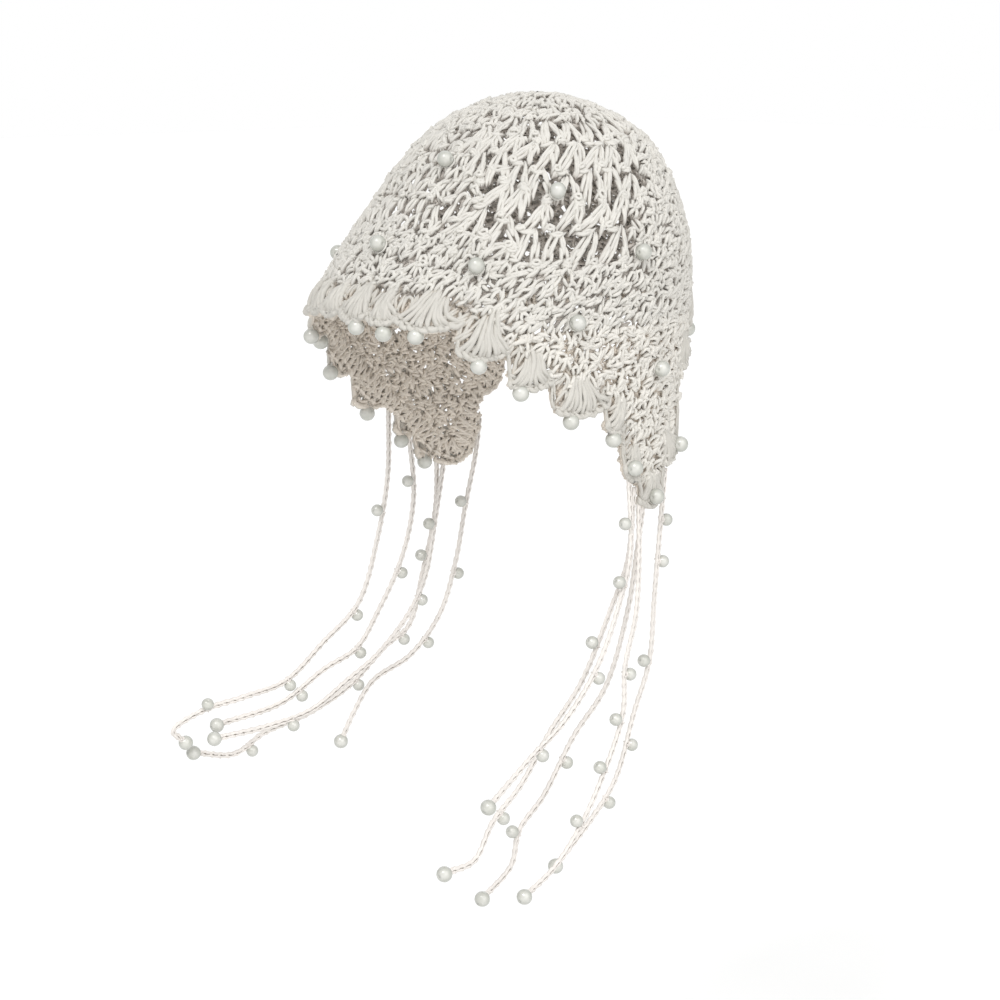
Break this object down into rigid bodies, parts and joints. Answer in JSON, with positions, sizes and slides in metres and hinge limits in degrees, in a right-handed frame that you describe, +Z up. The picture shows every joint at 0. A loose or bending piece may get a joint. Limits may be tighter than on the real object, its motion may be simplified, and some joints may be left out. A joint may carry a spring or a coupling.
{
  "type": "crocheted ear-flap beanie with pearl ties",
  "caption": "Fitted openwork crocheted cotton cap with pointed ear flaps, a scalloped pearl edging, sewn-on pearls and long pearl-set ties.",
  "frame": {"origin": "inside of the crown's top, where the top of a head meets it", "axes": "+Z up, the wearer faces -Y, +X is the wearer's left"},
  "size_m": [0.208, 0.2341, 0.3801],
  "materials": {
    "cotton": "matte crocheted cotton",
    "cotton_edging": "matte crocheted cotton",
    "cotton_tie": "matte chain-stitched cotton",
    "pearl": "pearl lustre"
  },
  "bodies": {
    "root": {"crown": "cotton", "ear_flap_left": "cotton", "ear_flap_right": "cotton", "edging": "cotton_edging", "hem_pearl_01": "pearl", "hem_pearl_02": "pearl", "hem_pearl_03": "pearl", "hem_pearl_04": "pearl", "hem_pearl_05": "pearl", "hem_pearl_06": "pearl", "hem_pearl_07": "pearl", "hem_pearl_08": "pearl", "hem_pearl_09": "pearl", "hem_pearl_10": "pearl", "hem_pearl_11": "pearl", "hem_pearl_12": "pearl", "hem_pearl_13": "pearl", "hem_pearl_14": "pearl", "hem_pearl_15": "pearl", "hem_pearl_16": "pearl", "hem_pearl_17": "pearl", "hem_pearl_18": "pearl", "hem_pearl_19": "pearl", "hem_pearl_20": "pearl", "hem_pearl_21": "pearl", "hem_pearl_22": "pearl", "hem_pearl_23": "pearl", "hem_pearl_24": "pearl", "hem_pearl_25": "pearl", "hem_pearl_26": "pearl", "hem_pearl_27": "pearl", "hem_pearl_28": "pearl", "crown_pearl_01": "pearl", "crown_pearl_02": "pearl", "crown_pearl_03": "pearl", "crown_pearl_04": "pearl", "crown_pearl_05": "pearl", "crown_pearl_06": "pearl", "crown_pearl_07": "pearl", "crown_pearl_08": "pearl", "crown_pearl_09": "pearl", "crown_pearl_10": "pearl", "crown_pearl_11": "pearl", "crown_pearl_12": "pearl", "tie_left_1": "cotton_tie", "tie_left_2": "cotton_tie", "tie_left_3": "cotton_tie", "tie_left_4": "cotton_tie", "tie_left_5": "cotton_tie", "tie_right_1": "cotton_tie", "tie_right_2": "cotton_tie", "tie_right_3": "cotton_tie", "tie_right_4": "cotton_tie", "tie_right_5": "cotton_tie"}
  },
  "joints": []
}
